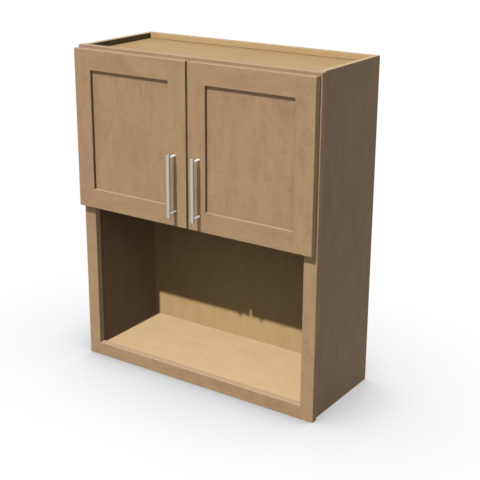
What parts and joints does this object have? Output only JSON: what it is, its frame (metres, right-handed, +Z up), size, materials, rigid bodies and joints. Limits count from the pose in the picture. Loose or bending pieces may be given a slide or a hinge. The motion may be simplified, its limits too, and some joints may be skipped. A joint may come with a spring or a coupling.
{
  "type": "kitchen wall cabinet",
  "caption": "Face-frame kitchen wall cabinet: hinged recessed-panel doors with bar pulls over an adjustable shelf, and an open niche below for a small appliance.",
  "frame": {"origin": "on the wall plane, at the middle of the cabinet's width and at the height of its bottom edge", "axes": "+X to the right as seen from the room, +Y from the doors towards the wall, +Z up"},
  "size_m": [0.762, 0.3638, 0.9144],
  "materials": {
    "stained_maple": "satin grey-brown stain",
    "natural_maple": "satin clear coat",
    "beech": "raw",
    "satin_nickel": "brushed",
    "hinge_steel": "nickel plated",
    "screw_steel": "zinc plated",
    "clear_bumper": "clear, soft"
  },
  "bodies": {
    "cabinet": {"left_side": "stained_maple", "right_side": "stained_maple", "top_panel": "natural_maple", "deck": "natural_maple", "bottom_panel": "natural_maple", "back_panel": "natural_maple", "top_hanging_rail": "natural_maple", "middle_hanging_rail": "natural_maple", "bottom_hanging_rail": "natural_maple", "hanging_rail_screws": "screw_steel", "frame_left_stile": "stained_maple", "frame_right_stile": "stained_maple", "frame_top_rail": "stained_maple", "frame_middle_rail": "stained_maple", "frame_bottom_rail": "stained_maple", "frame_dowels": "beech", "left_upper_hinge_arm": "hinge_steel", "left_lower_hinge_arm": "hinge_steel", "right_upper_hinge_arm": "hinge_steel", "right_lower_hinge_arm": "hinge_steel", "hinge_arm_screws": "screw_steel", "shelf_pins": "hinge_steel"},
    "left_door": {"left_door_hinge_stile": "stained_maple", "left_door_lock_stile": "stained_maple", "left_door_top_rail": "stained_maple", "left_door_bottom_rail": "stained_maple", "left_door_panel": "stained_maple", "left_door_bumpers": "clear_bumper", "left_upper_hinge_cup": "hinge_steel", "left_upper_hinge_pin": "hinge_steel", "left_lower_hinge_cup": "hinge_steel", "left_lower_hinge_pin": "hinge_steel", "left_hinge_cup_screws": "screw_steel", "left_handle_bar": "satin_nickel", "left_handle_posts": "satin_nickel", "left_handle_screws": "screw_steel"},
    "right_door": {"right_door_hinge_stile": "stained_maple", "right_door_lock_stile": "stained_maple", "right_door_top_rail": "stained_maple", "right_door_bottom_rail": "stained_maple", "right_door_panel": "stained_maple", "right_door_bumpers": "clear_bumper", "right_upper_hinge_cup": "hinge_steel", "right_upper_hinge_pin": "hinge_steel", "right_lower_hinge_cup": "hinge_steel", "right_lower_hinge_pin": "hinge_steel", "right_hinge_cup_screws": "screw_steel", "right_handle_bar": "satin_nickel", "right_handle_posts": "satin_nickel", "right_handle_screws": "screw_steel"},
    "shelf": {"shelf": "natural_maple"}
  },
  "joints": [
    {"name": "left_door_hinge", "type": "hinge", "parent": "cabinet", "child": "left_door", "pos_m": [-0.3698, -0.318, 0.6858], "axis": [0, 0, -1], "range_deg": [0, 105]},
    {"name": "right_door_hinge", "type": "hinge", "parent": "cabinet", "child": "right_door", "pos_m": [0.3698, -0.318, 0.6858], "axis": [0, 0, 1], "range_deg": [0, 105]},
    {"name": "shelf_lift", "type": "slide", "parent": "cabinet", "child": "shelf", "axis": [0, 0, 1], "range_m": [0, 0.17]}
  ]
}
